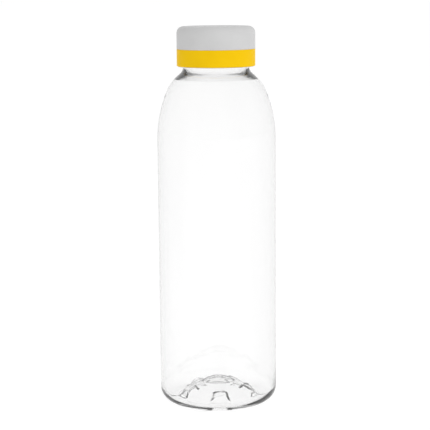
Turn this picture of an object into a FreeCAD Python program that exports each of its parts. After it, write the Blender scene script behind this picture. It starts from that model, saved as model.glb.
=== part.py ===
"""Clear plastic drinking bottle with a two-colour screw cap, as a parametric FreeCAD document.

The bottle is one blown piece: a round body with a domed shoulder, a threaded neck and a pushed-up base
that stands on a ring broken by radial ribs. The cap is a moulded shell with an inside thread. A coloured
ring is snapped over the step in its skirt, and a seal disc lies under its top.

Frame: millimetres, +Z up, origin at the centre of the standing ring, bottle axis along Z.
"""

import FreeCAD, Part
import os

import Sketcher
from FreeCAD import Placement, Rotation, Vector

PARTS_FOLDER = "parts"

# Driving dimensions: alias, value (mm, degrees or a count), what it is.
SIZES = [
    ("body_diameter", 65.0, "outside of the straight body"),
    ("heel_radius", 7.5, "rounding between the body and the standing ring"),
    ("standing_width", 2.0, "flat width of the standing ring"),
    ("standing_round", 2.5, "rounding from the standing ring up into the push-up"),
    ("shoulder_start", 146.5, "height where the straight body ends"),
    ("shoulder_radius", 67.0, "large arc of the shoulder"),
    ("shoulder_sweep", 22.7, "degrees turned by the large arc"),
    ("crown_radius", 23.4, "tight arc below the neck"),
    ("crown_slope", 47.9, "degrees from upright where the tight arc ends"),
    ("body_wall", 0.45, "wall of the body and shoulder"),
    ("thick_start", 43.0, "degrees on the tight arc where the wall thickens"),
    ("thick_drop", 0.5, "how far the bore runs down below the collar's foot"),
    ("bore_round", 4.0, "rounding inside between the crown and the bore"),
    ("heel_wall", 1.1, "wall over the standing ring"),
    ("pushup_radius", 7.8, "flat centre of the push-up, underneath"),
    ("pushup_height", 9.0, "height of the pushed-up centre, underneath"),
    ("pushup_wall", 1.2, "wall of the pushed-up centre"),
    ("gate_radius", 2.2, "moulding mark under the base"),
    ("gate_height", 0.7, "how far the moulding mark stands out"),
    ("rib_count", 5.0, "radial ribs across the standing ring"),
    ("rib_turn", -88.5, "degrees from +X to the first rib"),
    ("rib_height", 5.0, "height of a rib's groove above the ring"),
    ("rib_reach", 2.5, "how far a groove's foot runs out into the heel"),
    ("rib_end_lean", 8.0, "how far a groove's outer end leans in"),
    ("rib_foot_width", 13.6, "width of a groove at the standing ring"),
    ("rib_top_width", 6.9, "width of a groove's roof"),
    ("rib_wall", 0.8, "wall over a groove"),
    ("bore_diameter", 32.8, "inside of the neck"),
    ("neck_wall", 1.15, "wall of the neck between the threads"),
    ("neck_height", 20.5, "from the collar's foot to the lip"),
    ("collar_step", 0.55, "how far the plain collar under the cap stands out from the neck"),
    ("collar_height", 2.9, "height of the collar"),
    ("collar_round", 2.5, "rounding between the crown and the collar"),
    ("lip_round", 0.4, "rounding of the lip"),
    ("thread_pitch", 4.2, "rise of the thread in one turn"),
    ("thread_turns", 1.5, "turns of the thread"),
    ("thread_depth", 1.2, "how far the neck's thread stands out"),
    ("thread_foot", 2.0, "width of the neck's thread at its foot"),
    ("thread_tip", 1.0, "width of the neck's thread at its tip"),
    ("thread_low", 10.5, "from the collar's foot to the middle of the thread's start"),
    ("thread_gap", 0.3, "clearance between the neck and the cap at the threads"),
    ("cap_thread_foot", 1.6, "width of the cap's thread at its foot"),
    ("cap_thread_tip", 0.7, "width of the cap's thread at its tip"),
    ("thread_sink", 0.3, "how deep a thread is rooted in its wall"),
    ("skirt_wall", 1.2, "thickness of the cap's skirt inside the coloured ring"),
    ("cap_lift", 2.3, "from the collar's foot to the cap's lower edge"),
    ("cap_top_wall", 2.2, "thickness of the cap's top"),
    ("cap_round", 3.6, "rounding of the cap's upper edge"),
    ("cap_inner_round", 0.8, "rounding inside the cap's corner"),
    ("seal_thickness", 1.2, "thickness of the seal disc"),
    ("seal_gap", 0.15, "clearance between the seal and the rounding inside the cap"),
    ("ring_height", 9.4, "height of the coloured ring"),
    ("ring_wall", 1.0, "thickness of the coloured ring"),
    ("ring_gap", 0.05, "clearance between the ring and the cap's skirt"),
    ("ring_edge", 0.15, "bevel of the ring's outer edges"),
    ("snap_height", 1.2, "from the cap's lower edge to the snap bead"),
    ("snap_width", 1.2, "width of the snap bead at its foot"),
    ("snap_depth", 0.3, "how far the snap bead stands out"),
]

# Names for lengths worked out from the driving dimensions. Z is up and R is out from the axis.
BODY_R = "(dims.body_diameter / 2)"
WALL_R = f"({BODY_R} - dims.body_wall)"
RING_OUT_R = f"({BODY_R} - dims.heel_radius)"
RING_IN_R = f"({RING_OUT_R} - dims.standing_width)"
SWEEP = "(dims.shoulder_sweep * 1deg)"
SLOPE = "(dims.crown_slope * 1deg)"
THICK = "(dims.thick_start * 1deg)"
CROWN_CENTRE_R = (
    f"({BODY_R} - dims.shoulder_radius + (dims.shoulder_radius - dims.crown_radius) * cos({SWEEP}))"
)
CROWN_CENTRE_Z = f"(dims.shoulder_start + (dims.shoulder_radius - dims.crown_radius) * sin({SWEEP}))"
CROWN_END_R = f"({CROWN_CENTRE_R} + dims.crown_radius * cos({SLOPE}))"
CROWN_END_Z = f"({CROWN_CENTRE_Z} + dims.crown_radius * sin({SLOPE}))"
BORE_R = "(dims.bore_diameter / 2)"
NECK_R = f"({BORE_R} + dims.neck_wall)"
COLLAR_R = f"({NECK_R} + dims.collar_step)"
COLLAR_Z = f"({CROWN_END_Z} + ({CROWN_END_R} - {COLLAR_R}) / tan({SLOPE}))"
LIP_Z = f"({COLLAR_Z} + dims.neck_height)"
OVER_LIP_Z = f"({LIP_Z} + dims.lip_round)"
COLLAR_TOUCH = f"(dims.collar_round * tan({SLOPE} / 2))"
INNER_CROWN_R = "(dims.crown_radius - dims.body_wall)"
THICK_R = f"({CROWN_CENTRE_R} + {INNER_CROWN_R} * cos({THICK}))"
THICK_Z = f"({CROWN_CENTRE_Z} + {INNER_CROWN_R} * sin({THICK}))"
BORE_LOW_Z = f"({COLLAR_Z} - dims.thick_drop)"
BORE_SLOPE = f"atan(({THICK_R} - {BORE_R}) / ({BORE_LOW_Z} - {THICK_Z}))"
BORE_TOUCH = f"(dims.bore_round * tan({BORE_SLOPE} / 2))"
BASE_TOP = "(dims.pushup_height + dims.pushup_wall)"
INNER_HEEL_R = "(dims.heel_radius - dims.body_wall)"
VALLEY_ROUND = "(dims.standing_round - dims.heel_wall)"
RIB_START = "dims.pushup_radius"
RIB_END = f"({RING_OUT_R} + dims.rib_reach)"
THREAD_R = f"({NECK_R} + dims.thread_depth)"
CAP_BORE_R = f"({THREAD_R} + dims.thread_gap)"
CAP_TIP_R = f"({NECK_R} + dims.thread_gap)"
SKIRT_R = f"({CAP_BORE_R} + dims.skirt_wall)"
RING_BORE_R = f"({SKIRT_R} + dims.ring_gap)"
CAP_R = f"({RING_BORE_R} + dims.ring_wall)"
CAP_LOW_Z = f"({COLLAR_Z} + dims.cap_lift)"
CAP_ROOF_Z = f"({LIP_Z} + dims.seal_thickness)"
CAP_TOP_Z = f"({CAP_ROOF_Z} + dims.cap_top_wall)"
SEAL_R = f"({CAP_BORE_R} - dims.cap_inner_round - dims.seal_gap)"
RING_TOP_Z = f"({CAP_LOW_Z} + dims.ring_height)"
SNAP_LOW_Z = f"({CAP_LOW_Z} + dims.snap_height)"
NECK_THREAD_Z = f"({COLLAR_Z} + dims.thread_low)"
CAP_THREAD_Z = f"({NECK_THREAD_Z} - dims.thread_pitch / 2)"


def make_sheet(doc):
    """The spreadsheet of driving dimensions, one row each: what it is, its value and its alias."""
    sheet = doc.addObject("Spreadsheet::Sheet", "dims")
    for row, (alias, size, meaning) in enumerate(SIZES, start=1):
        sheet.set(f"A{row}", meaning)
        sheet.set(f"B{row}", str(size))
        sheet.setAlias(f"B{row}", alias)
    doc.recompute()
    return sheet


def value(doc, expression):
    """The number that an expression of driving dimensions gives now."""
    found = doc.dims.evalExpression(expression)
    return float(getattr(found, "Value", found))


def origin_feature(body, role):
    """One of a body's own origin planes or axes, such as XZ_Plane or Z_Axis."""
    return next(feature for feature in body.Origin.OriginFeatures if feature.Role == role)


def new_body(doc, name):
    """An empty PartDesign body."""
    body = doc.addObject("PartDesign::Body", name)
    body.Label = name
    return body


def profile_sketch(body, name, corners):
    """A closed half-section in the XZ plane.

    Each corner is (R, Z) as expressions. A third and fourth entry make the edge that arrives there an arc:
    its radius, and +1 if the arc turns left on the way or -1 if it turns right.
    """
    doc = body.Document
    sketch = body.newObject("Sketcher::SketchObject", name)
    sketch.AttachmentSupport = (origin_feature(body, "XZ_Plane"), [""])
    sketch.MapMode = "FlatFace"
    points = [Vector(value(doc, corner[0]), value(doc, corner[1]), 0) for corner in corners]
    for index, corner in enumerate(corners):
        start, end = points[index - 1], points[index]
        if is_arc(corner):
            sketch.addGeometry(arc_edge(start, end, value(doc, corner[2]), corner[3]))
        else:
            sketch.addGeometry(Part.LineSegment(start, end))
    pin_corners(sketch, corners)
    return sketch


def is_arc(corner):
    """Whether the edge that arrives at a corner is an arc."""
    return len(corner) > 2


def arc_edge(start, end, radius, turn):
    """The shorter arc between two points, stored counter-clockwise whichever way the outline runs."""
    chord = end - start
    height = max(radius**2 - (chord.Length / 2) ** 2, 0.0) ** 0.5
    left = Vector(-chord.y, chord.x, 0).normalize()
    centre = (start + end) / 2 + left * (height * turn)
    middle = centre - left * (radius * turn)
    if turn > 0:
        return Part.Arc(start, middle, end)
    return Part.Arc(end, middle, start)


def turns_right(corner):
    """Whether the edge that arrives at a corner is an arc that turns right, which is stored end first."""
    return is_arc(corner) and corner[3] < 0


def arriving_end(corner):
    """The number, 1 or 2, of the edge's end that lies at its corner."""
    return 1 if turns_right(corner) else 2


def leaving_end(corner):
    """The number, 1 or 2, of the edge's end that lies at the corner before."""
    return 2 if turns_right(corner) else 1


def pin_corners(sketch, corners):
    """Joins the edges of a profile sketch, and binds its corners and radii to the driving dimensions."""
    for index, corner in enumerate(corners):
        following = (index + 1) % len(corners)
        this_end = arriving_end(corner)
        next_start = leaving_end(corners[following])
        joint = Sketcher.Constraint("Coincident", index, this_end, following, next_start)
        sketch.addConstraint(joint)
        bind(sketch, from_origin("DistanceX", index, this_end), corner[0])
        bind(sketch, from_origin("DistanceY", index, this_end), corner[1])
        if is_arc(corner):
            bind(sketch, ("Radius", index), corner[2])


def from_origin(direction, edge, end):
    """A distance from the sketch's own origin, which a constraint names -1, 1, to one end of an edge."""
    return direction, -1, 1, edge, end


def bind(sketch, target, expression):
    """Adds one constraint to a sketch and ties its size to an expression of driving dimensions."""
    size = value(sketch.Document, expression)
    number = sketch.addConstraint(Sketcher.Constraint(*target, size))
    sketch.setExpression(f"Constraints[{number}]", expression)


def revolve(body, name, sketch):
    """A full turn of a half-section about the Z axis."""
    turned = body.newObject("PartDesign::Revolution", name)
    turned.Profile = sketch
    turned.ReferenceAxis = (sketch, ["V_Axis"])
    turned.Angle = 360.0
    sketch.Visibility = False
    body.Document.recompute()
    return turned


def add_thread(body, name, corners):
    """A ridge with the given section, carried round the Z axis as a right-hand thread."""
    section = profile_sketch(body, f"{name}_section", corners)
    thread = body.newObject("PartDesign::AdditiveHelix", name)
    thread.Profile = section
    thread.ReferenceAxis = (section, ["V_Axis"])
    thread.Mode = "pitch-turns-angle"
    thread.setExpression("Pitch", "dims.thread_pitch")
    thread.setExpression("Turns", "dims.thread_turns")
    thread.Angle = 0.0
    section.Visibility = False
    body.Document.recompute()
    return thread


def cut_ribs(body, name, growth):
    """One tapered block for each rib, across the standing ring and grown by a wall, cut from a body."""
    block = body.newObject("PartDesign::SubtractiveWedge", name)
    block.AttachmentSupport = (origin_feature(body, "XY_Plane"), [""])
    block.MapMode = "FlatFace"
    block.AttachmentOffset = Placement(Vector(), Rotation(Vector(1, 0, 0), 90))
    foot = f"(dims.rib_foot_width / 2 + {growth})"
    roof = f"(dims.rib_top_width / 2 + {growth})"
    expressions = {
        "Xmin": RIB_START,
        "Xmax": f"{RIB_END} + {growth}",
        "Ymin": "0",
        "Ymax": f"dims.rib_height + {growth}",
        "Zmin": f"-{foot}",
        "Zmax": foot,
        "X2min": RIB_START,
        "X2max": f"{RIB_END} - dims.rib_end_lean + {growth}",
        "Z2min": f"-{roof}",
        "Z2max": roof,
    }
    for prop, expression in expressions.items():
        block.setExpression(prop, expression)
    body.Document.recompute()
    ring = body.newObject("PartDesign::PolarPattern", f"{name}_ring")
    ring.Originals = [block]
    ring.Axis = (origin_feature(body, "Z_Axis"), [""])
    ring.Angle = 360.0
    ring.setExpression("Occurrences", "dims.rib_count")
    body.Tip = ring
    body.Document.recompute()
    return ring


def cone_touch(top_r, top_z, arc_radius):
    """Where a cone from (top_r, top_z) touches the round that turns it into the standing ring.

    The round's centre is over the ring's inner edge. Returns the point's R and Z as expressions.
    """
    across = f"({RING_IN_R} - {top_r})"
    down = f"({top_z} - dims.standing_round)"
    slope = f"(atan({down} / {across}) + asin({arc_radius} / hypot({across}; {down})))"
    touch_r = f"{RING_IN_R} - {arc_radius} * sin({slope})"
    touch_z = f"dims.standing_round - {arc_radius} * cos({slope})"
    return touch_r, touch_z


def bottle_outside(doc):
    """The bottle as if it were solid: body, heel, push-up, shoulder, collar and threaded neck."""
    body = new_body(doc, "bottle_outside")
    gate_z = "(dims.pushup_height - dims.gate_height)"
    corners = [
        ("0", gate_z),
        ("dims.gate_radius", gate_z),
        ("dims.gate_radius", "dims.pushup_height"),
        ("dims.pushup_radius", "dims.pushup_height"),
        cone_touch("dims.pushup_radius", "dims.pushup_height", "dims.standing_round"),
        (RING_IN_R, "0", "dims.standing_round", 1),
        (RING_OUT_R, "0"),
        (BODY_R, "dims.heel_radius", "dims.heel_radius", 1),
        (BODY_R, "dims.shoulder_start"),
        (
            f"{BODY_R} - dims.shoulder_radius * (1 - cos({SWEEP}))",
            f"dims.shoulder_start + dims.shoulder_radius * sin({SWEEP})",
            "dims.shoulder_radius",
            1,
        ),
        (CROWN_END_R, CROWN_END_Z, "dims.crown_radius", 1),
        (
            f"{COLLAR_R} + {COLLAR_TOUCH} * sin({SLOPE})",
            f"{COLLAR_Z} - {COLLAR_TOUCH} * cos({SLOPE})",
        ),
        (COLLAR_R, f"{COLLAR_Z} + {COLLAR_TOUCH}", "dims.collar_round", -1),
        (COLLAR_R, f"{COLLAR_Z} + dims.collar_height"),
        (NECK_R, f"{COLLAR_Z} + dims.collar_height + {COLLAR_R} - {NECK_R}"),
        (NECK_R, f"{LIP_Z} - dims.lip_round"),
        (f"{NECK_R} - dims.lip_round", LIP_Z, "dims.lip_round", 1),
        ("0", LIP_Z),
    ]
    revolve(body, "bottle_form", profile_sketch(body, "bottle_section", corners))
    cut_ribs(body, "rib_groove", "0")
    add_thread(
        body,
        "neck_thread",
        [
            (f"{NECK_R} - dims.thread_sink", f"{NECK_THREAD_Z} - dims.thread_foot / 2"),
            (NECK_R, f"{NECK_THREAD_Z} - dims.thread_foot / 2"),
            (THREAD_R, f"{NECK_THREAD_Z} - dims.thread_tip / 2"),
            (THREAD_R, f"{NECK_THREAD_Z} + dims.thread_tip / 2"),
            (NECK_R, f"{NECK_THREAD_Z} + dims.thread_foot / 2"),
            (f"{NECK_R} - dims.thread_sink", f"{NECK_THREAD_Z} + dims.thread_foot / 2"),
        ],
    )
    return body


def bottle_inside(doc):
    """The space that the bottle's wall leaves, from the base to above the lip."""
    body = new_body(doc, "bottle_inside")
    corners = [
        ("0", BASE_TOP),
        ("dims.pushup_radius", BASE_TOP),
        cone_touch("dims.pushup_radius", BASE_TOP, VALLEY_ROUND),
        (RING_IN_R, "dims.heel_wall", VALLEY_ROUND, 1),
        (RING_OUT_R, "dims.heel_wall"),
        (WALL_R, f"dims.heel_wall + {INNER_HEEL_R}", INNER_HEEL_R, 1),
        (WALL_R, "dims.shoulder_start"),
        (
            f"{BODY_R} - dims.shoulder_radius + (dims.shoulder_radius - dims.body_wall) * cos({SWEEP})",
            f"dims.shoulder_start + (dims.shoulder_radius - dims.body_wall) * sin({SWEEP})",
            "dims.shoulder_radius - dims.body_wall",
            1,
        ),
        (THICK_R, THICK_Z, INNER_CROWN_R, 1),
        (
            f"{BORE_R} + {BORE_TOUCH} * sin({BORE_SLOPE})",
            f"{BORE_LOW_Z} - {BORE_TOUCH} * cos({BORE_SLOPE})",
        ),
        (BORE_R, f"{BORE_LOW_Z} + {BORE_TOUCH}", "dims.bore_round", -1),
        (BORE_R, f"{LIP_Z} - dims.lip_round"),
        (f"{BORE_R} + dims.lip_round", LIP_Z, "dims.lip_round", -1),
        (f"{BORE_R} + dims.lip_round", OVER_LIP_Z),
        ("0", OVER_LIP_Z),
    ]
    revolve(body, "space_form", profile_sketch(body, "space_section", corners))
    cut_ribs(body, "rib_ridge", "dims.rib_wall")
    return body


def make_bottle(doc):
    """The blown bottle: its outside less its inside, turned so that the first rib lies where it should."""
    bottle = doc.addObject("Part::Cut", "bottle")
    bottle.Base = bottle_outside(doc)
    bottle.Tool = bottle_inside(doc)
    bottle.Label = "bottle"
    turn_to_rib(bottle)
    return bottle


def turn_to_rib(part):
    """Turns a part about Z with the ribs, so that the two threads stay in step."""
    part.Placement = Placement(Vector(), Rotation(Vector(0, 0, 1), 1))
    part.setExpression("Placement.Rotation.Angle", "dims.rib_turn * 1deg")


def make_cap(doc):
    """The cap's moulded shell: domed edge, flat top, stepped skirt with a snap bead, inside thread."""
    body = new_body(doc, "cap")
    snap_mid = f"({SNAP_LOW_Z} + dims.snap_width / 2)"
    corners = [
        ("0", CAP_ROOF_Z),
        (f"{CAP_BORE_R} - dims.cap_inner_round", CAP_ROOF_Z),
        (CAP_BORE_R, f"{CAP_ROOF_Z} - dims.cap_inner_round", "dims.cap_inner_round", -1),
        (CAP_BORE_R, CAP_LOW_Z),
        (SKIRT_R, CAP_LOW_Z),
        (SKIRT_R, SNAP_LOW_Z),
        (f"{SKIRT_R} + dims.snap_depth", snap_mid),
        (SKIRT_R, f"{SNAP_LOW_Z} + dims.snap_width"),
        (SKIRT_R, RING_TOP_Z),
        (CAP_R, RING_TOP_Z),
        (CAP_R, f"{CAP_TOP_Z} - dims.cap_round"),
        (f"{CAP_R} - dims.cap_round", CAP_TOP_Z, "dims.cap_round", 1),
        ("0", CAP_TOP_Z),
    ]
    revolve(body, "cap_form", profile_sketch(body, "cap_section", corners))
    add_thread(
        body,
        "cap_thread",
        [
            (f"{CAP_BORE_R} + dims.thread_sink", f"{CAP_THREAD_Z} + dims.cap_thread_foot / 2"),
            (CAP_BORE_R, f"{CAP_THREAD_Z} + dims.cap_thread_foot / 2"),
            (CAP_TIP_R, f"{CAP_THREAD_Z} + dims.cap_thread_tip / 2"),
            (CAP_TIP_R, f"{CAP_THREAD_Z} - dims.cap_thread_tip / 2"),
            (CAP_BORE_R, f"{CAP_THREAD_Z} - dims.cap_thread_foot / 2"),
            (f"{CAP_BORE_R} + dims.thread_sink", f"{CAP_THREAD_Z} - dims.cap_thread_foot / 2"),
        ],
    )
    turn_to_rib(body)
    return body


def make_ring(doc):
    """The coloured ring over the cap's skirt, with a groove that takes the snap bead."""
    body = new_body(doc, "colour_ring")
    snap_mid = f"({SNAP_LOW_Z} + dims.snap_width / 2)"
    corners = [
        (RING_BORE_R, CAP_LOW_Z),
        (f"{CAP_R} - dims.ring_edge", CAP_LOW_Z),
        (CAP_R, f"{CAP_LOW_Z} + dims.ring_edge"),
        (CAP_R, f"{RING_TOP_Z} - dims.ring_edge"),
        (f"{CAP_R} - dims.ring_edge", RING_TOP_Z),
        (RING_BORE_R, RING_TOP_Z),
        (RING_BORE_R, f"{SNAP_LOW_Z} + dims.snap_width"),
        (f"{RING_BORE_R} + dims.snap_depth", snap_mid),
        (RING_BORE_R, SNAP_LOW_Z),
    ]
    revolve(body, "ring_form", profile_sketch(body, "ring_section", corners))
    return body


def make_seal(doc):
    """The seal disc, between the lip of the neck and the cap's top."""
    disc = doc.addObject("Part::Cylinder", "seal_disc")
    disc.Label = "seal_disc"
    disc.setExpression("Radius", SEAL_R)
    disc.setExpression("Height", "dims.seal_thickness")
    disc.setExpression("Placement.Base.z", LIP_Z)
    return disc


def check_objects(doc):
    """Stops the script if any object of the document failed to build."""
    for item in doc.Objects:
        wrong = [word for word in item.State if word in ("Invalid", "Error")]
        if wrong:
            raise RuntimeError(f"{item.Name} failed: {wrong}")


def check_shape(part):
    """Stops the script unless a sub-part is one valid closed solid."""
    shape = part.Shape
    if shape.isNull() or not shape.isValid():
        raise RuntimeError(f"{part.Label} has no valid shape")
    if len(shape.Solids) != 1:
        raise RuntimeError(f"{part.Label} has {len(shape.Solids)} solids and should be one")


def main():
    """Builds the document and writes each sub-part's shape."""
    doc = FreeCAD.newDocument("drinking_bottle")
    make_sheet(doc)
    sub_parts = [make_bottle(doc), make_cap(doc), make_ring(doc), make_seal(doc)]
    doc.recompute()
    check_objects(doc)
    os.makedirs(PARTS_FOLDER, exist_ok=True)
    for part in sub_parts:
        check_shape(part)
    for part in sub_parts:
        part.Shape.exportStep(os.path.join(PARTS_FOLDER, f"{part.Label}.step"))
        box = part.Shape.optimalBoundingBox(False)
        print(
            f"{part.Label}: volume {part.Shape.Volume:.1f} mm3,"
            f" R {box.XMax:.2f}, Z {box.ZMin:.2f} to {box.ZMax:.2f}"
        )


main()
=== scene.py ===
"""A clear drinking bottle with a grey and yellow screw cap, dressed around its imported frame.

The bottle, the cap, the coloured ring and the seal are surfaces worked out with numpy from named
sizes. Sizes are in millimetres, with Z up from the standing ring, and become metres as a mesh is
written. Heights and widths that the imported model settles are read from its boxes.
"""

import logging
import math
from dataclasses import dataclass, field
from enum import Enum

import bpy
import numpy as np
from mathutils import Matrix, Vector


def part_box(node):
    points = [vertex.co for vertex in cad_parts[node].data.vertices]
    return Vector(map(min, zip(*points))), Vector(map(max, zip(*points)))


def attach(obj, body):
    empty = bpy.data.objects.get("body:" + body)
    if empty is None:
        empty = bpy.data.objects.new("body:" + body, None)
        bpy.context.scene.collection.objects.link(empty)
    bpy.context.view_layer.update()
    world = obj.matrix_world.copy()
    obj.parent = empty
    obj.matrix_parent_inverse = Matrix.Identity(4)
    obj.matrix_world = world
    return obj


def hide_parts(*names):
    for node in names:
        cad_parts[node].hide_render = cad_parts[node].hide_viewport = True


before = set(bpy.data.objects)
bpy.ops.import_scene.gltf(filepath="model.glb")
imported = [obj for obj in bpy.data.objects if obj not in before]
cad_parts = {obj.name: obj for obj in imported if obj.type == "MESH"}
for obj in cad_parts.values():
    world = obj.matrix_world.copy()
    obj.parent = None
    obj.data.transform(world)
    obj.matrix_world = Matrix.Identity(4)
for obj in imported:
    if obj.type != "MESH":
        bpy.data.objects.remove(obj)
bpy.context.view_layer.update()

MM = 0.001

# In millimetres: points nearer than this count as one, and no radius is divided by less.
CLOSEST = 0.001
# Number of points of a straight run that is only its two ends.
ENDS = 2
# Places of the sockets on a Mix node.
MIX_SHARE, MIX_NUMBERS, MIX_COLOURS, MIX_COLOUR_OUT = 0, (2, 3), (6, 7), 2
# Names of the nodes that a new material comes with.
MAIN_SHADER, SURFACE_OUTPUT = "Principled BSDF", "Material Output"

log = logging.getLogger("bottle")

Floats = np.ndarray
Point = tuple[float, float]
Colour = tuple[float, float, float]


class Body(Enum):
    """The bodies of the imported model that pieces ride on."""

    BOTTLE = "bottle"
    SEAL = "seal"
    CAP = "cap"


class Slot(Enum):
    """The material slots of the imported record."""

    CLEAR_BODY = "clear_body"
    CAP_GREY = "cap_grey"
    RING_YELLOW = "ring_yellow"
    SEAL_WHITE = "seal_white"


class Closing(Enum):
    """How the first and last rows of a turned surface are closed."""

    POLES = "poles"
    LOOP = "loop"


# ----- Profiles and grids -----


@dataclass
class Outline:
    """A profile in the half plane of radius and height, built up run by run."""

    runs: list[Floats] = field(default_factory=list)

    def line(self, start: Point, end: Point, steps: int) -> "Outline":
        """Adds a straight run: start plus a share of the way to end.

        Args:
            start: first point.
            end: last point.
            steps: number of points, both ends among them.

        Returns:
            The outline itself.
        """
        share = np.linspace(0.0, 1.0, steps)[:, None]
        self.runs.append(np.array(start) * (1 - share) + np.array(end) * share)
        return self

    def arc(self, centre: Point, radius: float, first: float, last: float, steps: int) -> "Outline":
        """Adds an arc: the centre plus the radius times the cosine and sine of the angle.

        Args:
            centre: centre of the arc.
            radius: its radius.
            first: angle of its start, in degrees from the outward direction.
            last: angle of its end.
            steps: number of points.

        Returns:
            The outline itself.
        """
        angle = np.radians(np.linspace(first, last, steps))
        self.runs.append(np.array(centre) + radius * np.c_[np.cos(angle), np.sin(angle)])
        return self

    def corner(
        self, before: Point, at: Point, after: Point, radius: float, steps: int
    ) -> "Outline":
        """Adds the arc that rounds a corner between two straight runs.

        The arc's centre lies on the corner's bisector, the radius over the sine of half the angle
        away, and its points turn evenly from one tangent point to the other.

        Args:
            before: a point on the run that arrives.
            at: the sharp corner.
            after: a point on the run that leaves.
            radius: radius of the rounding.
            steps: number of points.

        Returns:
            The outline itself.
        """
        sharp = np.array(at)
        back = (np.array(before) - sharp) / np.linalg.norm(np.array(before) - sharp)
        ahead = (np.array(after) - sharp) / np.linalg.norm(np.array(after) - sharp)
        half = math.acos(float(np.clip(back @ ahead, -1, 1))) / 2
        middle = sharp + (back + ahead) / np.linalg.norm(back + ahead) * radius / math.sin(half)
        first = sharp + back * radius / math.tan(half) - middle
        last = sharp + ahead * radius / math.tan(half) - middle
        whole = math.pi - 2 * half
        share = np.linspace(0.0, 1.0, steps)[:, None]
        turn = np.sin((1 - share) * whole) * first + np.sin(share * whole) * last
        self.runs.append(middle + turn / math.sin(whole))
        return self

    def points(self) -> Floats:
        """Gives all points in order, with repeated ones left out.

        Returns:
            An array of rows (radius, height).
        """
        joined = np.concatenate(self.runs)
        apart = np.hypot(*np.diff(joined, axis=0).T) > CLOSEST
        return joined[np.r_[True, apart]]


def end_of(outline: Outline) -> Point:
    """Gives the last point that was added to an outline."""
    radius, height = outline.runs[-1][-1]
    return float(radius), float(height)


def full_turn(columns: int) -> Floats:
    """Gives evenly spaced azimuths for one turn."""
    return np.arange(columns) / columns * 2 * math.pi


def turned(profile: Floats, azimuth: Floats) -> Floats:
    """Carries a profile round the axis: x, y is the radius times cosine and sine of the azimuth.

    Args:
        profile: rows (radius, height).
        azimuth: angles of the columns, one row of them or one row for each point.

    Returns:
        Points as an array [row, column, xyz].
    """
    radius = profile[:, 0][:, None]
    height = profile[:, 1][:, None]
    angle = np.broadcast_to(azimuth, (len(profile), azimuth.shape[-1]))
    return np.stack([radius * np.cos(angle), radius * np.sin(angle), height + 0 * angle], -1)


def write_piece(name: str, grid: Floats, closing: Closing) -> bpy.types.Object:
    """Writes a grid of points as one closed, smooth mesh with its faces outwards.

    Columns run round the axis and meet themselves. With poles, the first and last rows close on
    a point each at their mean; in a loop, the last row joins the first.

    Args:
        name: name of the piece.
        grid: points [row, column, xyz] in millimetres.
        closing: how the two ends close.

    Returns:
        The new object, at the origin.
    """
    rows, columns = grid.shape[:2]
    row = np.arange(rows if closing is Closing.LOOP else rows - 1)[:, None]
    column = np.arange(columns)[None, :]
    beside = (column + 1) % columns
    here, above = row * columns, (row + 1) % rows * columns
    quads = np.stack([here + column, here + beside, above + beside, above + column], -1)
    quads = quads.reshape(-1, 4)
    points = grid.reshape(-1, 3)
    fans = np.zeros((0, 3), int)
    if closing is Closing.POLES:
        one = np.arange(columns)
        two = (one + 1) % columns
        top = (rows - 1) * columns
        first, last = np.full(columns, len(points)), np.full(columns, len(points) + 1)
        fans = np.concatenate([np.c_[first, two, one], np.c_[last, top + one, top + two]])
        points = np.concatenate([points, [grid[0].mean(0), grid[-1].mean(0)]])
    corners = np.concatenate([quads.ravel(), fans.ravel()])
    starts = np.concatenate([np.arange(len(quads)) * 4, quads.size + np.arange(len(fans)) * 3])
    mesh = bpy.data.meshes.new(name)
    mesh.vertices.add(len(points))
    mesh.vertices.foreach_set("co", (points * MM).ravel())
    mesh.loops.add(len(corners))
    mesh.loops.foreach_set("vertex_index", corners)
    mesh.polygons.add(len(starts))
    mesh.polygons.foreach_set("loop_start", starts)
    mesh.update(calc_edges=True)
    mesh.validate()
    mesh.polygons.foreach_set("use_smooth", np.ones(len(mesh.polygons), bool))
    piece = bpy.data.objects.new(name, mesh)
    bpy.context.scene.collection.objects.link(piece)
    return piece


def softer_of(one: Floats, other: Floats, blend: float) -> Floats:
    """Gives the larger of two surfaces, rounded where they cross.

    The share h of the first grows from 0 to 1 as the first rises past the second within the blend
    width, and the sum of both by their shares is lifted by blend times h times (1 - h).

    Args:
        one: heights of the first surface.
        other: heights of the second.
        blend: width of the rounding.

    Returns:
        The rounded larger height.
    """
    share = np.clip(0.5 + 0.5 * (one - other) / blend, 0, 1)
    return other * (1 - share) + one * share + blend * share * (1 - share)


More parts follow.
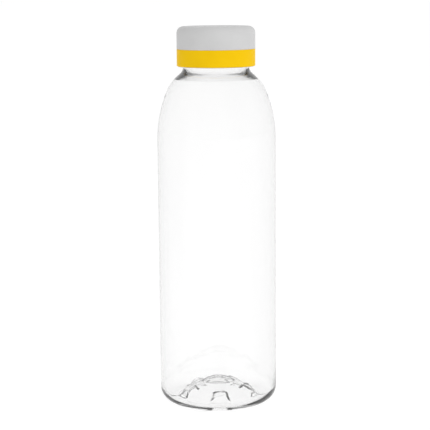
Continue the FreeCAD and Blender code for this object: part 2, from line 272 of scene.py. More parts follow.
@dataclass(frozen=True)
class Thread:
    """A right-hand screw thread on a round wall, standing out from it or into its bore."""

    low: float
    depth: float
    foot: float
    tip: float
    pitch: float = 4.2
    turns: float = 1.5
    start_turn: float = -88.5
    fade: float = 1 / 12

    def on(self, grid: Floats, wall: Floats, datum: float) -> Floats:
        """Moves the points of a round wall outwards along the thread.

        The thread's middle rises by the pitch in each turn. Its section is a trapezium in the
        distance from that middle, full at the tip's half width and nothing at the foot's, and both
        ends fade in over a share of a turn. A negative depth moves the points inwards.

        Args:
            grid: points [row, column, xyz].
            wall: True for each point of the wall.
            datum: height that the thread's low end is measured from.

        Returns:
            The points with the thread.
        """
        azimuth = np.arctan2(grid[..., 1], grid[..., 0]) - math.radians(self.start_turn)
        turn = azimuth / (2 * math.pi) % 1
        swell = np.zeros(turn.shape)
        for lap in range(math.ceil(self.turns)):
            along = turn + lap
            away = np.abs(grid[..., 2] - datum - self.low - self.pitch * along)
            section = (self.foot / 2 - away) / (self.foot - self.tip) * 2
            ends = np.minimum(along, self.turns - along) / self.fade
            swell = np.maximum(swell, np.clip(section, 0, 1) * np.clip(ends, 0, 1))
        swell = np.where(wall, swell * self.depth, 0.0)
        radius = np.maximum(np.hypot(grid[..., 0], grid[..., 1]), CLOSEST)
        across = 1 + swell / radius
        return grid * np.stack([across, across, np.ones(radius.shape)], -1)


def round_box(node: str) -> tuple[float, float, float]:
    """Reads the size of a packed round node from its box.

    Args:
        node: name of the node.

    Returns:
        Its radius, its lowest height and its highest height, in millimetres.
    """
    low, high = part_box(node)
    low, high = np.array(low) / MM, np.array(high) / MM
    return float(high[0] - low[0]) / 2, float(low[2]), float(high[2])


def dressed(
    piece: bpy.types.Object, finish: bpy.types.Material, body: Body, node: str
) -> None:
    """Gives a piece its finish, the body that it rides on and the node it stands for.

    Args:
        piece: the finished object.
        finish: its material.
        body: body that it moves with.
        node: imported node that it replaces.
    """
    piece.data.materials.append(finish)
    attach(piece, body.value)
    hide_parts(node)
    log.info("%s: %d faces, rides on %s", piece.name, len(piece.data.polygons), body.value)


# ----- Finishes -----


@dataclass
class NodeSheet:
    """A small helper that adds and links the nodes of one tree."""

    tree: bpy.types.NodeTree

    def add(self, kind: str, **values: object) -> bpy.types.Node:
        """Adds a node and sets its properties or inputs by name.

        Args:
            kind: Blender's type name of the node.
            values: properties, or inputs with underscores for spaces; a socket is linked.

        Returns:
            The node.
        """
        node = self.tree.nodes.new(kind)
        for name, value in values.items():
            if hasattr(node, name):
                setattr(node, name, value)
                continue
            wanted = node.inputs[name.replace("_", " ")]
            if isinstance(value, bpy.types.NodeSocket):
                self.tree.links.new(value, wanted)
            else:
                wanted.default_value = value
        return node

    def maths(self, operation: str, first: object, second: object = 0.0) -> bpy.types.NodeSocket:
        """Adds a Math node and gives its output.

        Args:
            operation: name of the operation.
            first: value or socket of the first input.
            second: value or socket of the second input.

        Returns:
            The result's socket.
        """
        node = self.add("ShaderNodeMath", operation=operation)
        for place, value in enumerate((first, second)):
            if isinstance(value, bpy.types.NodeSocket):
                self.tree.links.new(value, node.inputs[place])
            else:
                node.inputs[place].default_value = value
        return node.outputs[0]

    def ramp(
        self, value: bpy.types.NodeSocket, span: Point, result: Point, smooth: bool = False
    ) -> bpy.types.NodeSocket:
        """Maps a value from one span to another, clamped at both ends.

        Args:
            value: socket to map.
            span: its two ends.
            result: what they become.
            smooth: True for a smooth step between the ends.

        Returns:
            The result's socket.
        """
        kind = "SMOOTHSTEP" if smooth else "LINEAR"
        node = self.add("ShaderNodeMapRange", interpolation_type=kind, Value=value)
        for name, number in zip(("From Min", "From Max", "To Min", "To Max"), (*span, *result)):
            node.inputs[name].default_value = number
        return node.outputs[0]

    def grey(self, value: bpy.types.NodeSocket) -> bpy.types.NodeSocket:
        """Makes a grey colour from one value.

        Args:
            value: how light it is.

        Returns:
            The colour's socket.
        """
        node = self.add("ShaderNodeCombineColor")
        for place in range(3):
            self.tree.links.new(value, node.inputs[place])
        return node.outputs[0]

    def mixed(
        self, share: bpy.types.NodeSocket, first: Colour, second: Colour
    ) -> bpy.types.NodeSocket:
        """Mixes two colours by a share.

        Args:
            share: share of the second.
            first: colour at a share of 0.
            second: colour at a share of 1.

        Returns:
            The colour's socket.
        """
        node = self.add("ShaderNodeMix", data_type="RGBA")
        self.tree.links.new(share, node.inputs[MIX_SHARE])
        for place, colour in zip(MIX_COLOURS, (first, second)):
            node.inputs[place].default_value = (*colour, 1)
        return node.outputs[MIX_COLOUR_OUT]

    def chosen(
        self, share: bpy.types.NodeSocket, first: object, second: object
    ) -> bpy.types.NodeSocket:
        """Mixes two numbers by a share.

        Args:
            share: share of the second.
            first: value or socket at a share of 0.
            second: value or socket at a share of 1.

        Returns:
            The number's socket.
        """
        node = self.add("ShaderNodeMix", data_type="FLOAT")
        self.tree.links.new(share, node.inputs[MIX_SHARE])
        for place, value in zip(MIX_NUMBERS, (first, second)):
            if isinstance(value, bpy.types.NodeSocket):
                self.tree.links.new(value, node.inputs[place])
            else:
                node.inputs[place].default_value = value
        return node.outputs[0]

    def join(self, kind: str, first: bpy.types.Node, second: bpy.types.Node) -> bpy.types.Node:
        """Joins two shaders in a Mix or Add node and leads them to the material's surface.

        Args:
            kind: Blender's type name of the joining node.
            first: the first shader.
            second: the second shader.

        Returns:
            The joining node.
        """
        both = self.add(kind)
        for place, shader in zip(list(both.inputs)[-2:], (first, second)):
            self.tree.links.new(shader.outputs[0], place)
        self.tree.links.new(both.outputs[0], self.tree.nodes[SURFACE_OUTPUT].inputs[0])
        return both


def fresh_material(name: str) -> tuple[bpy.types.Material, NodeSheet, bpy.types.Node]:
    """Makes a material with its default nodes.

    Args:
        name: name of the material.

    Returns:
        The material, the sheet of its nodes and its main shader.
    """
    material = bpy.data.materials.new(name)
    material.use_nodes = True
    return material, NodeSheet(material.node_tree), material.node_tree.nodes[MAIN_SHADER]


@dataclass(frozen=True)
class ClearPet:
    """Clear blown PET: smooth, glassy plastic, with painted grey shade where it is seen edge on and
    faint painted reflection streaks.
    """

    index: float = 1.57
    face_tint: float = 0.022
    # Painted shade: how much grey the colour takes where the wall is seen edge on, and how fast it
    # grows.
    edge_shade: float = 0.21
    edge_shade_power: float = 2.0
    # Painted reflection: faint upright grey streaks that a stretched noise subtracts from the
    # colour.
    painted_streak_tint: float = 0.012
    painted_streak_span: Point = (0.45, 0.7)
    painted_streak_size: tuple[float, float, float] = (55.0, 55.0, 7.0)
    wave_size: float = 26.0
    wave_height: float = 0.02
    wave_reach: float = 0.001
    lamp_share: float = 0.96

    def material(self) -> bpy.types.Material:
        """Builds the material.

        The colour darkens with a power of how far the wall is turned from the eye, a painted grey
        shade at the edges, and a noise drawn out along the bottle subtracts faint upright streaks
        of painted reflection. A slow noise bends the surface slightly, as blowing leaves it. Rays
        to a lamp, and rays from matt surfaces, pass almost unchanged.

        Returns:
            The material.
        """
        material, sheet, shader = fresh_material("clear_pet")
        links = material.node_tree.links
        place = sheet.add("ShaderNodeTexCoord").outputs["Object"]
        # Painted edge shade: the colour greys with a power of how edge-on the wall is seen.
        facing = sheet.add("ShaderNodeLayerWeight", Blend=0.5).outputs["Facing"]
        away = sheet.maths("POWER", facing, self.edge_shade_power)
        # Painted reflection streaks: a noise stretched along the bottle darkens the colour in faint
        # upright bands.
        drawn = sheet.add("ShaderNodeMapping", Vector=place, Scale=self.painted_streak_size).outputs[0]
        streak = sheet.add("ShaderNodeTexNoise", Vector=drawn, Scale=1.0, Detail=1.0).outputs[0]
        clear = sheet.ramp(away, (0.0, 1.0), (1.0 - self.face_tint, 1.0 - self.edge_shade))
        # The painted reflection streaks' darkening, subtracted from the colour below.
        thick = sheet.ramp(streak, self.painted_streak_span, (0.0, self.painted_streak_tint), smooth=True)
        tint_and_painted_shade = sheet.grey(sheet.maths("SUBTRACT", clear, thick))
        wave = sheet.add("ShaderNodeTexNoise", Vector=place, Scale=self.wave_size, Detail=1.0)
        bump = sheet.add(
            "ShaderNodeBump",
            Strength=self.wave_height,
            Distance=self.wave_reach,
            Height=wave.outputs[0],
        )
        links.new(tint_and_painted_shade, shader.inputs["Base Color"])
        links.new(bump.outputs[0], shader.inputs["Normal"])
        shader.inputs["Roughness"].default_value = 0.0
        shader.inputs["IOR"].default_value = self.index
        shader.inputs["Transmission Weight"].default_value = 1.0
        path = sheet.add("ShaderNodeLightPath").outputs
        passes = sheet.maths("MAXIMUM", path["Is Shadow Ray"], path["Is Diffuse Ray"])
        open_way = sheet.add("ShaderNodeBsdfTransparent", Color=(self.lamp_share,) * 3 + (1,))
        both = sheet.join("ShaderNodeMixShader", shader, open_way)
        links.new(passes, both.inputs[MIX_SHARE])
        return material


@dataclass(frozen=True)
class SatinPlastic:
    """Moulded satin plastic: an even colour with faint clouds, a fine grain and a soft gloss."""

    name: str
    colour: Colour
    cloud: Colour
    gloss: float = 0.06
    roughness: Point = (0.40, 0.48)
    grain_size: float = 2600.0
    grain_height: float = 0.06
    grain_reach: float = 0.0002
    cloud_size: float = 70.0
    cloud_span: Point = (0.35, 0.65)
    rough_span: Point = (0.3, 0.7)

    def material(self) -> bpy.types.Material:
        """Builds the material.

        A slow noise mixes the colour with its cloud, the same noise drives the roughness, and a
        fine noise at a fraction of a millimetre gives the grain of a spark-eroded mould.

        Returns:
            The material.
        """
        material, sheet, shader = fresh_material(self.name)
        links = material.node_tree.links
        place = sheet.add("ShaderNodeTexCoord").outputs["Object"]
        cloud = sheet.add("ShaderNodeTexNoise", Vector=place, Scale=self.cloud_size, Detail=3.0)
        grain = sheet.add("ShaderNodeTexNoise", Vector=place, Scale=self.grain_size, Detail=2.0)
        slow, fine = cloud.outputs[0], grain.outputs[0]
        share = sheet.ramp(slow, self.cloud_span, (0.0, 1.0), smooth=True)
        bump = sheet.add(
            "ShaderNodeBump", Strength=self.grain_height, Distance=self.grain_reach, Height=fine
        )
        links.new(sheet.mixed(share, self.colour, self.cloud), shader.inputs["Base Color"])
        links.new(sheet.ramp(slow, self.rough_span, self.roughness), shader.inputs["Roughness"])
        links.new(bump.outputs[0], shader.inputs["Normal"])
        shader.inputs["Specular IOR Level"].default_value = self.gloss
        return material


GREY_CAP = SatinPlastic("grey_polypropylene", (0.555, 0.555, 0.555), (0.576, 0.576, 0.576))
YELLOW_RING = SatinPlastic(
    "yellow_polypropylene", (0.815, 0.508, 0.004), (0.840, 0.530, 0.005), gloss=0.03
)
WHITE_SEAL = SatinPlastic(
    "white_seal_foam",
    (0.80, 0.80, 0.78),
    (0.86, 0.86, 0.84),
    gloss=0.1,
    roughness=(0.65, 0.8),
    grain_size=900.0,
    grain_height=0.3,
)


# ----- The bottle -----


@dataclass(frozen=True)
class BottleSteps:
    """Numbers of points on the runs of the bottle's two profiles."""

    mark: int = 5
    dome: int = 18
    dome_edge: int = 10
    flank: int = 14
    knee: int = 8
    last_run: int = 10
    standing: int = 8
    heel: int = 26
    body: int = 16
    shoulder: int = 14
    crown: int = 20
    collar_foot: int = 9
    collar: int = 4
    collar_slope: int = 3
    neck: int = 48
    lip: int = 4
    inner_crown: int = 16
    thick_crown: int = 8
    thick_slope: int = 8
    bore_foot: int = 14
    bore: int = 12


@dataclass
class BlownBottle:
    """The clear bottle: grooved, pushed-up base, round body, shoulder and threaded neck.

    From the axis outwards the base has a gate mark, a dome, a flank, a knee and the standing ring.
    A groove has an inner end that rises from its start, a roof, a bend, a step and an outer end.
    Slopes, sweeps and turns are in degrees.
    """

    node: str = "bottle"
    heel_radius: float = 7.5
    inner_heel_radius: float = 6.8
    standing_width: float = 2.0
    standing_round: float = 2.9
    shoulder_start: float = 146.5
    shoulder_radius: float = 67.0
    shoulder_sweep: float = 22.7
    crown_radius: float = 23.4
    crown_slope: float = 47.9
    wall: float = 0.45
    heel_wall: float = 1.35
    thick_start: float = 43.0
    thick_bend: float = 6.5
    bore_radius: float = 16.4
    bore_round: float = 4.0
    neck_radius: float = 17.55
    collar_radius: float = 18.1
    collar_round: float = 3.5
    collar_height: float = 2.9
    collar_drop: float = 0.1
    collar_bevel: Point = (0.2, 0.15)
    neck_start: Point = (3.5, 3.7)
    neck_height: float = 20.5
    lip_round: float = 0.4
    dome_height: float = 12.3
    dome_wall: float = 0.8
    dome_edge: float = 8.5
    dome_edge_height: float = 9.8
    dome_soft: float = 9.0
    knee_radius: float = 18.3
    knee_height: float = 4.4
    knee_soft: float = 0.6
    flank_wall: float = 1.3
    gate_radius: float = 2.2
    gate_height: float = 0.3
    gate_round: float = 0.25
    pole_radius: float = 0.4
    groove_count: int = 5
    groove_turn: float = -88.5
    groove_height: float = 6.0
    groove_fall: float = 0.3
    groove_tilt: float = 0.35
    groove_start: float = 14.0
    groove_start_height: float = 7.2
    groove_rise: float = 1.2
    groove_bend: float = 18.5
    groove_step: float = 20.0
    groove_step_height: float = 1.6
    groove_end: float = 28.0
    groove_foot: float = 7.4
    groove_end_foot: float = 3.0
    groove_roof: float = 2.6
    groove_draft: float = 0.3
    groove_wall: float = 0.35
    groove_soft: float = 1.0
    groove_columns: float = 0.46
    groove_widest: float = 0.8
    base_top: float = 14.0
    base_rim: float = 1.5
    thread: Thread = Thread(low=10.5, depth=1.2, foot=2.0, tip=1.0)
    base_lean: float = 0.28
    base_lean_turn: float = 176.0
    lean_heights: tuple[float, float, float] = (0.5, 1.0, 1.5)
    lean_shares: tuple[float, float, float] = (1.0, 0.4, 0.0)
    steps: BottleSteps = BottleSteps()
    columns: int = 240

    def body_radius(self) -> float:
        """Gives the outer radius of the straight body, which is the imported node's."""
        return round_box(self.node)[0]

    def crown_centre(self) -> Point:
        """Works out the centre of the tight arc, which runs on smoothly from the shoulder's arc.

        From the shoulder's centre it lies the difference of the two radii away, at the slope where
        the shoulder ends.

        Returns:
            The centre.
        """
        sweep = math.radians(self.shoulder_sweep)
        reach = self.shoulder_radius - self.crown_radius
        radius = self.body_radius() - self.shoulder_radius + reach * math.cos(sweep)
        return radius, self.shoulder_start + reach * math.sin(sweep)

    def crown_point(self, radius: float, slope: float) -> Point:
        """Finds a point of an arc about the crown's centre.

        Args:
            radius: radius of the arc.
            slope: the point's angle, in degrees from the outward direction.

        Returns:
            The point.
        """
        centre = self.crown_centre()
        angle = math.radians(slope)
        return centre[0] + radius * math.cos(angle), centre[1] + radius * math.sin(angle)

    def collar_foot(self) -> float:
        """Gives the height at which the crown's straight end meets the collar."""
        end = self.crown_point(self.crown_radius, self.crown_slope)
        return end[1] + (end[0] - self.collar_radius) / math.tan(math.radians(self.crown_slope))

    def pushed_up(
        self, out: Outline, top: float, start: float, drop: float, around: float
    ) -> Outline:
        """Adds the pushed-up base: a round dome, a flank, a knee and a steeper run to the ring.

        The dome is an arc about a centre on the axis, through its top and its edge. A hollow
        rounding joins it to the flank: its centre lies one rounding above the flank and both radii
        away from the dome's centre. The flank runs straight to the knee, and the last run is a
        tangent of the standing ring's rounding: its slope is the slope of the line to that
        rounding's centre plus the arc sine of radius over distance.

        Args:
            out: the outline to add to.
            top: height of the dome's middle.
            start: radius at which the dome begins.
            drop: how far the edge and the knee lie below those of the inside.
            around: radius of the standing ring's rounding.

        Returns:
            The outline.
        """
        steps, soft = self.steps, self.dome_soft
        edge = (self.dome_edge, self.dome_edge_height - drop)
        knee = (self.knee_radius, self.knee_height - drop)
        rise = top - edge[1]
        curve = (edge[0] ** 2 + rise**2) / (2 * rise)
        centre = np.array((0.0, top - curve))
        flank = math.atan2(edge[1] - knee[1], knee[0] - edge[0])
        along = np.array((math.cos(flank), -math.sin(flank)))
        up = np.array((math.sin(flank), math.cos(flank)))
        lifted = np.array(edge) + up * soft - centre
        ahead = along @ lifted
        reach = -ahead + math.sqrt(ahead**2 - lifted @ lifted + (curve + soft) ** 2)
        hollow = centre + lifted + along * reach
        meet = math.degrees(math.atan2(*(hollow - centre)[::-1]))
        first = 90 - math.degrees(math.asin(start / curve))
        out.arc(tuple(centre), curve, first, meet, steps.dome)
        out.arc(tuple(hollow), soft, 180 + meet, 270 - math.degrees(flank), steps.dome_edge)
        inner = self.body_radius() - self.heel_radius - self.standing_width
        across, down = inner - knee[0], knee[1] - self.standing_round
        slope = math.atan2(down, across) + math.asin(around / math.hypot(across, down))
        touch = (inner - around * math.sin(slope), self.standing_round - around * math.cos(slope))
        rounded = Outline().corner(edge, knee, touch, self.knee_soft, steps.knee)
        out.line(end_of(out), tuple(rounded.runs[0][0]), steps.flank)
        out.runs += rounded.runs
        out.line(end_of(out), touch, steps.last_run)
        first = 270 - math.degrees(slope)
        return out.arc((inner, self.standing_round), around, first, 270, steps.standing)

    def outer_profile(self) -> Floats:
        """Draws the outside from under the base's centre to the top of the lip.

        Returns:
            Rows (radius, height).
        """
        steps = self.steps
        radius, foot = self.body_radius(), self.collar_foot()
        ring = radius - self.heel_radius
        lip = foot + self.neck_height - self.lip_round
        top = self.dome_height - self.dome_wall
        mark, edge = top - self.gate_height, self.gate_radius - self.gate_round
        out = Outline().line((self.pole_radius, mark), (edge, mark), steps.mark)
        out.arc((edge, mark + self.gate_round), self.gate_round, -90, 0, steps.mark)
        self.pushed_up(out, top, self.gate_radius, self.flank_wall, self.standing_round)
        out.arc((ring, self.heel_radius), self.heel_radius, -90, 0, steps.heel)
        out.line(end_of(out), (radius, self.shoulder_start), steps.body)
        centre, sweep = (radius - self.shoulder_radius, self.shoulder_start), self.shoulder_sweep
        out.arc(centre, self.shoulder_radius, 0, sweep, steps.shoulder)
        out.arc(self.crown_centre(), self.crown_radius, sweep, self.crown_slope, steps.crown)
        end, collar = self.crown_point(self.crown_radius, self.crown_slope), self.collar_radius
        out.corner(end, (collar, foot), (collar, lip), self.collar_round, steps.collar_foot)
        edge, (aside, above) = foot + self.collar_height, self.collar_bevel
        out.line(end_of(out), (collar, edge - self.collar_drop), steps.collar)
        slope, straight = foot + self.neck_start[0], foot + self.neck_start[1]
        out.line((collar - aside, edge + above), (self.neck_radius, slope), steps.collar_slope)
        out.line((self.neck_radius, straight), (self.neck_radius, lip), steps.neck)
        out.arc((self.neck_radius - self.lip_round, lip), self.lip_round, 0, 90, steps.lip)
        return out.points()

    def inner_profile(self) -> Floats:
        """Draws the inside from over the base's centre to the top of the lip.

        Returns:
            Rows (radius, height).
        """
        steps, bore = self.steps, self.bore_radius
        radius, foot = self.body_radius(), self.collar_foot()
        inside, heel = radius - self.wall, self.inner_heel_radius
        crown = self.crown_radius - self.wall
        lip = foot + self.neck_height - self.lip_round
        around = self.standing_round - self.heel_wall
        out = self.pushed_up(Outline(), self.dome_height, self.pole_radius, 0.0, around)
        out.arc((inside - heel, self.heel_wall + heel), heel, -90, 0, steps.heel)
        out.line(end_of(out), (inside, self.shoulder_start), steps.body)
        centre, sweep = (radius - self.shoulder_radius, self.shoulder_start), self.shoulder_sweep
        out.arc(centre, self.shoulder_radius - self.wall, 0, sweep, steps.shoulder)
        out.arc(self.crown_centre(), crown, sweep, self.thick_start, steps.inner_crown)
        start = end_of(out)
        first, last = self.thick_start + self.thick_bend, self.crown_slope + self.thick_bend
        lean = math.radians(first)
        centre = (start[0] - crown * math.cos(lean), start[1] - crown * math.sin(lean))
        out.arc(centre, crown, first, last, steps.thick_crown)
        thick = end_of(out)
        sharp = (bore, thick[1] + (thick[0] - bore) / math.tan(math.radians(last)))
        rounded = Outline().corner(thick, sharp, (bore, lip), self.bore_round, steps.bore_foot)
        out.line(thick, tuple(rounded.runs[0][0]), steps.thick_slope)
        out.runs += rounded.runs
        out.line(end_of(out), (bore, lip), steps.bore)
        out.arc((bore + self.lip_round, lip), self.lip_round, 180, 90, steps.lip)
        return out.points()

    def azimuths(self, radius: Floats) -> Floats:
        """Spaces the columns so that in the base they follow the grooves' walls.

        Each groove's share of the turn is cut into columns by a side value s from -1 to 1. Up to a
        fixed share of s the columns keep to the groove's width, so their azimuths reach the arc
        sine of that width over the radius, and the rest spread over what is left.

        Args:
            radius: radius of each row.

        Returns:
            Azimuths [row, column].
        """
        per_groove = self.columns // self.groove_count
        half = math.pi / self.groove_count
        split = self.groove_columns
        side = (np.arange(per_groove) + 0.5) / per_groove * 2 - 1
        widest = math.sin(self.groove_widest * half)
        across = np.minimum(self.groove_foot / np.maximum(radius, CLOSEST), widest)
        even = split * half
        near = np.where(radius < self.groove_end, np.arcsin(across), even)[:, None]
        size = np.abs(side)[None, :]
        inner = size / split * near
        outer = near + (size - split) / (1 - split) * (half - near)
        local = np.sign(side)[None, :] * np.where(size < split, inner, outer)
        groove = np.arange(self.groove_count) * 2 * half + math.radians(self.groove_turn)
        return (groove[None, :, None] + local[:, None, :]).reshape(len(radius), -1)

    def groove(self, x: Floats, y: Floats, grow: float) -> Floats:
        """Gives the height of the grooves' roofs and walls over the base.

        In each groove's own frame u runs outwards and v across. The inner end rises in a straight
        line, the roof tilts across and falls slowly to the bend, steeply to the step and gently to
        nothing at the end, the walls fall from the roof's half width to the foot's half width, and
        the smallest of the four holds, rounded.

        Args:
            x: places across.
            y: places along.
            grow: how far the inner surface lies outside the outer one.

        Returns:
            Heights, well below the base where there is no groove.
        """
        step = 2 * math.pi / self.groove_count
        azimuth = np.arctan2(y, x) - math.radians(self.groove_turn)
        azimuth = azimuth - np.round(azimuth / step) * step
        reach = np.hypot(x, y)
        u, across = reach * np.cos(azimuth), reach * np.sin(azimuth)
        v = np.abs(across)
        lean = self.groove_tilt * np.clip(across, -self.groove_roof, self.groove_roof)
        roof = self.groove_height + grow - self.groove_fall * (u - self.knee_radius) + lean
        span = [self.groove_start, self.groove_bend, self.groove_end]
        foot = np.interp(u, span, [self.groove_foot, self.groove_foot, self.groove_end_foot]) + grow
        flat = min(self.groove_roof, self.groove_end_foot - self.groove_draft)
        width = np.interp(u, span, [self.groove_roof, self.groove_roof, flat]) + grow
        wall = roof * (foot - v) / (foot - width)
        last = self.groove_height + grow - self.groove_fall * (self.groove_bend - self.knee_radius)
        bend = self.groove_bend + grow
        down = [bend, self.groove_step + grow, self.groove_end + grow]
        fall = np.interp(u, down, [last, self.groove_step_height + grow, 0.0])
        fall = np.where(u < bend, last + (bend - u), fall)
        lower = -softer_of(-wall, -fall, self.groove_soft)
        lower = -softer_of(-lower, -roof, self.groove_soft)
        rise = self.groove_start_height + grow + self.groove_rise * (u - self.groove_start)
        return -softer_of(-lower, -rise, self.groove_soft)

    def base_shaped(self, grid: Floats, grow: float) -> Floats:
        """Lifts the base's points to the grooves where these are higher, rounded at the crossing.

        Args:
            grid: points [row, column, xyz].
            grow: how far the inner surface lies outside the outer one.

        Returns:
            The points with the grooves.
        """
        x, y, z = grid[..., 0], grid[..., 1], grid[..., 2]
        base = (z < self.base_top) & (np.hypot(x, y) < self.body_radius() - self.base_rim)
        lifted = softer_of(z, self.groove(x, y, grow), self.groove_soft)
        grid[..., 2] = np.where(base, lifted, z)
        return grid

    def uneven(self, grid: Floats) -> Floats:
        """Shifts the inside across, so that the wall is thicker at one side, as blowing leaves it.

        The shift is full up to half the heel's radius, fades to nothing at one and a half, and
        grows from nothing on the axis to full at the bore's radius.

        Args:
            grid: points [row, column, xyz] of the inside.

        Returns:
            The shifted points.
        """
        heights = np.array(self.lean_heights) * self.heel_radius
        shifts = np.array(self.lean_shares) * self.base_lean
        turn = math.radians(self.base_lean_turn)
        lean = np.interp(grid[..., 2], heights, shifts)
        lean = lean * np.clip(np.hypot(grid[..., 0], grid[..., 1]) / self.bore_radius, 0, 1)
        grid[..., 0] += lean * math.cos(turn)
        grid[..., 1] += lean * math.sin(turn)
        return grid

    def build(self) -> bpy.types.Object:
        """Builds the whole bottle as one closed skin: outside, lip and inside.

        Returns:
            The piece.
        """
        outside, inside = self.outer_profile(), self.inner_profile()
        outer = self.base_shaped(turned(outside, self.azimuths(outside[:, 0])), 0.0)
        neck = outer[..., 2] > self.collar_foot() + self.collar_height
        outer = self.thread.on(outer, neck, self.collar_foot())
        inner = turned(inside, self.azimuths(inside[:, 0]))
        inner = self.uneven(self.base_shaped(inner, self.groove_wall))
        piece = write_piece("clear_bottle", np.concatenate([outer, inner[::-1]]), Closing.POLES)
        dressed(piece, ClearPet().material(), Body.BOTTLE, self.node)
        return piece


# ----- The cap -----


@dataclass(frozen=True)
class SnapBead:
    """The bead round the cap's skirt that holds the ring, and the ring's groove for it."""

    height: float = 1.2
    width: float = 1.2
    depth: float = 0.3


@dataclass(frozen=True)
class CapSteps:
    """Numbers of points on the runs of the cap's profile."""

    roof: int = 12
    roof_edge: int = 6
    bore: int = 76
    foot: int = 4
    lip: int = 6
    skirt: int = 3
    skirt_top: int = 5
    step: int = 3
    band_edge: int = 5
    band: int = 8
    top_edge: int = 20
    top: int = 14


@dataclass
class ScrewCap:
    """The grey cap: rounded top, plain upper band, a skirt with a thin lip and an inside thread."""

    node: str = "cap"
    ring_node: str = "colour_ring"
    top_round: float = 3.6
    edge_round: float = 0.25
    ring_wall: float = 1.05
    skirt_wall: float = 1.2
    lip_height: float = 0.25
    lip_inset: float = 0.5
    bevel: float = 0.05
    top_wall: float = 2.2
    inner_round: float = 0.8
    bore_reach: float = 0.2
    pole_radius: float = 0.3
    snap: SnapBead = SnapBead()
    thread: Thread = Thread(low=6.1, depth=-1.2, foot=1.6, tip=0.7)
    steps: CapSteps = CapSteps()
    columns: int = 192

    def bore(self) -> float:
        """Gives the radius inside the skirt, within the ring's wall and the skirt's own."""
        return round_box(self.node)[0] - self.ring_wall - self.skirt_wall

    def profile(self) -> Floats:
        """Draws the cap from under the middle of its roof, down and up its skirt and over its top.

        Returns:
            Rows (radius, height).
        """
        steps, snap, edge, bevel = self.steps, self.snap, self.edge_round, self.bevel
        radius, bottom, top = round_box(self.node)
        band = round_box(self.ring_node)[2]
        skirt, bore = radius - self.ring_wall, self.bore()
        roof, inner = top - self.top_wall, self.inner_round
        out = Outline().line((self.pole_radius, roof), (bore - inner, roof), steps.roof)
        out.arc((bore - inner, roof - inner), inner, 90, 0, steps.roof_edge)
        out.line(end_of(out), (bore, bottom + edge), steps.bore)
        out.arc((bore + edge, bottom + edge), edge, 180, 270, steps.foot)
        lip, curl = radius - self.lip_inset, self.lip_height / 2
        out.arc((lip - curl, bottom + curl), curl, -90, 90, steps.lip)
        foot, bead = bottom + self.lip_height, bottom + snap.height
        out.line((skirt + bevel, foot), (skirt, foot + bevel), ENDS)
        out.line((skirt, foot + 2 * bevel), (skirt, bead), steps.skirt)
        crest, end = (skirt + snap.depth, bead + snap.width / 2), bead + snap.width
        out.line(crest, (skirt, end), ENDS)
        out.line((skirt, end + 2 * bevel), (skirt, band), steps.skirt_top)
        out.line((skirt + bevel, band), (radius - edge, band), steps.step)
        out.arc((radius - edge, band + edge), edge, -90, 0, steps.band_edge)
        out.line(end_of(out), (radius, top - self.top_round), steps.band)
        centre = (radius - self.top_round, top - self.top_round)
        out.arc(centre, self.top_round, 0, 90, steps.top_edge)
        out.line(end_of(out), (self.pole_radius, top), steps.top)
        return out.points()

    def build(self) -> bpy.types.Object:
        """Builds the cap by carrying its profile round the axis and adding the inside thread.

        Returns:
            The piece.
        """
        grid = turned(self.profile(), full_turn(self.columns))
        inside = np.abs(np.hypot(grid[..., 0], grid[..., 1]) - self.bore()) < self.bore_reach
        grid = self.thread.on(grid, inside, round_box(self.node)[1])
        piece = write_piece("screw_cap", grid, Closing.POLES)
        dressed(piece, GREY_CAP.material(), Body.CAP, self.node)
        return piece


@dataclass(frozen=True)
class RingSteps:
    """Numbers of points on the runs of the ring's section."""

    edge: int = 5
    outside: int = 8
    inside: int = 6


@dataclass
class ColourRing:
    """The yellow ring that sits on the cap's skirt."""

    node: str = "colour_ring"
    wall: float = 1.0
    lip_gap: float = 0.28
    edge_round: float = 0.2
    nudge: float = 0.01
    groove_gap: float = 0.1
    snap: SnapBead = SnapBead()
    steps: RingSteps = RingSteps()
    columns: int = 192

    def profile(self) -> Floats:
        """Draws the ring's section as a closed loop with rounded corners and a groove inside.

        Returns:
            Rows (radius, height).
        """
        steps, snap, edge, nudge = self.steps, self.snap, self.edge_round, self.nudge
        radius, foot, top = round_box(self.node)
        bottom, inside = foot + self.lip_gap, radius - self.wall
        out = Outline().line((inside, bottom + edge), (inside + edge, bottom), ENDS)
        out.arc((radius - edge, bottom + edge), edge, -90, 0, steps.edge)
        out.line(end_of(out), (radius, top - edge), steps.outside)
        out.arc((radius - edge, top - edge), edge, 0, 90, steps.edge)
        out.line((inside + edge, top), (inside, top - edge), ENDS)
        groove = foot + snap.height
        end = groove + snap.width
        out.line((inside, top - edge - nudge), (inside, end + self.groove_gap), steps.inside)
        out.line((inside, end), (inside + snap.depth, groove + snap.width / 2), ENDS)
        out.line((inside, groove), (inside, bottom + edge + nudge), ENDS)
        return out.points()

    def build(self) -> bpy.types.Object:
        """Builds the ring by carrying its section round the axis.

        Returns:
            The piece.
        """
        grid = turned(self.profile(), full_turn(self.columns))
        piece = write_piece("yellow_ring", grid, Closing.LOOP)
        dressed(piece, YELLOW_RING.material(), Body.CAP, self.node)
        return piece


@dataclass
class SealDisc:
    """The soft white disc inside the cap, pressed on the bottle's lip."""

    node: str = "seal_disc"
    edge_round: float = 0.3
    pole_radius: float = 0.3
    face_steps: int = 14
    edge_steps: int = 4
    columns: int = 144

    def build(self) -> bpy.types.Object:
        """Builds the disc with rounded edges by carrying its section round the axis.

        Returns:
            The piece.
        """
        radius, bottom, top = round_box(self.node)
        edge, middle = self.edge_round, self.pole_radius
        out = Outline().line((middle, bottom), (radius - edge, bottom), self.face_steps)
        out.arc((radius - edge, bottom + edge), edge, -90, 0, self.edge_steps)
        out.arc((radius - edge, top - edge), edge, 0, 90, self.edge_steps)
        out.line(end_of(out), (middle, top), self.face_steps)
        grid = turned(out.points(), full_turn(self.columns))
        piece = write_piece("seal_liner", grid, Closing.POLES)
        dressed(piece, WHITE_SEAL.material(), Body.SEAL, self.node)
        return piece


# ----- The studio -----


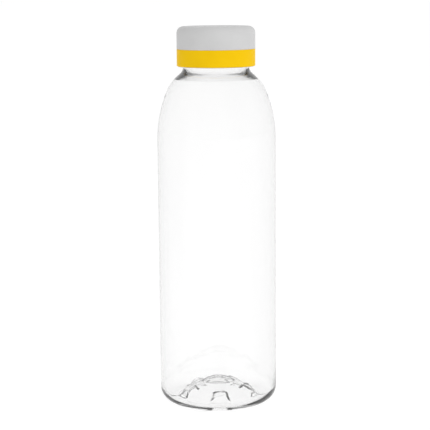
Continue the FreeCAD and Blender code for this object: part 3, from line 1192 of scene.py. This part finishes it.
@dataclass
class Studio:
    """A plain pale floor under a soft white sky, one soft lamp at the right, and the camera."""

    floor_size: float = 60.0
    floor_colour: float = 0.6
    floor_glow: float = 0.5
    sky_level: float = 0.85
    sky_top: float = 0.95
    sky_fade: Point = (0.05, 0.5)
    lamp_power: float = 24.0
    lamp_size: float = 1.6
    lamp_place: tuple[float, float, float] = (2.2, -1.8, 1.65)
    lamp_aim: tuple[float, float, float] = (0.0, 0.0, 0.15)
    camera_place: tuple[float, float, float] = (-0.0012, -0.722, 0.2265)
    camera_pitch: float = 9.62
    camera_roll: float = -0.45
    focal_width: float = 1325.0
    image_width: float = 430.0
    sensor: float = 36.0
    farthest: float = 100.0

    def floor(self) -> None:
        """Lays a large pale floor that keeps the bottle's shadow and glows a little."""
        half = self.floor_size / 2
        mesh = bpy.data.meshes.new("floor")
        corners = [(-half, -half, 0), (half, -half, 0), (half, half, 0), (-half, half, 0)]
        mesh.from_pydata(corners, [], [(0, 1, 2, 3)])
        material, sheet, shader = fresh_material("pale_floor")
        material.node_tree.nodes.remove(shader)
        matt = sheet.add("ShaderNodeBsdfDiffuse", Color=(self.floor_colour,) * 3 + (1,))
        glow = sheet.add("ShaderNodeEmission", Strength=self.floor_glow)
        sheet.join("ShaderNodeAddShader", matt, glow)
        mesh.materials.append(material)
        floor = bpy.data.objects.new("floor", mesh)
        bpy.context.scene.collection.objects.link(floor)

    def sky(self) -> None:
        """Sets the sky: white to the camera, darker towards the top in gloss and clear plastic."""
        world = bpy.data.worlds.new("studio_sky")
        world.use_nodes = True
        sheet = NodeSheet(world.node_tree)
        way = sheet.add("ShaderNodeTexCoord").outputs["Generated"]
        up = sheet.add("ShaderNodeSeparateXYZ", Vector=way).outputs["Z"]
        seen = sheet.ramp(up, self.sky_fade, (1.0, self.sky_top), smooth=True)
        path = sheet.add("ShaderNodeLightPath").outputs
        through = sheet.maths("MAXIMUM", path["Is Glossy Ray"], path["Is Transmission Ray"])
        level = sheet.chosen(through, self.sky_level, seen)
        level = sheet.chosen(path["Is Camera Ray"], level, 1.0)
        back = world.node_tree.nodes["Background"]
        back.inputs["Color"].default_value = (1, 1, 1, 1)
        world.node_tree.links.new(level, back.inputs["Strength"])
        bpy.context.scene.world = world

    def lamp(self) -> None:
        """Hangs one large soft lamp at the right."""
        light = bpy.data.lights.new("soft_lamp", "AREA")
        light.shape = "SQUARE"
        light.size = self.lamp_size
        light.energy = self.lamp_power
        lamp = bpy.data.objects.new("soft_lamp", light)
        place = Vector(self.lamp_place)
        turn = (place - Vector(self.lamp_aim)).to_track_quat("Z", "Y")
        lamp.matrix_world = Matrix.Translation(place) @ turn.to_matrix().to_4x4()
        lamp.visible_glossy = False
        lamp.visible_transmission = False
        bpy.context.scene.collection.objects.link(lamp)

    def camera(self) -> None:
        """Sets the camera in front, a little above the bottle and looking down at it."""
        lens = bpy.data.cameras.new("camera")
        lens.sensor_width = self.sensor
        lens.lens = self.sensor * self.focal_width / self.image_width
        lens.clip_end = self.farthest
        camera = bpy.data.objects.new("camera", lens)
        tilt = Matrix.Rotation(math.radians(90 - self.camera_pitch), 4, "X")
        roll = Matrix.Rotation(math.radians(self.camera_roll), 4, "Z")
        camera.matrix_world = Matrix.Translation(self.camera_place) @ tilt @ roll
        bpy.context.scene.collection.objects.link(camera)
        bpy.context.scene.camera = camera

    def build(self) -> None:
        """Sets up floor, sky, lamp and camera, and the plain view transform."""
        self.floor()
        self.sky()
        self.lamp()
        self.camera()
        bpy.context.scene.view_settings.view_transform = "Standard"
        log.info("studio: floor, sky, lamp and camera are in place")


def main() -> None:
    """Builds every piece in order, then the studio."""
    logging.basicConfig(level=logging.INFO, format="%(name)s: %(message)s")
    for maker in (BlownBottle(), ScrewCap(), ColourRing(), SealDisc()):
        maker.build()
    Studio().build()


if __name__ == "__main__":
    main()
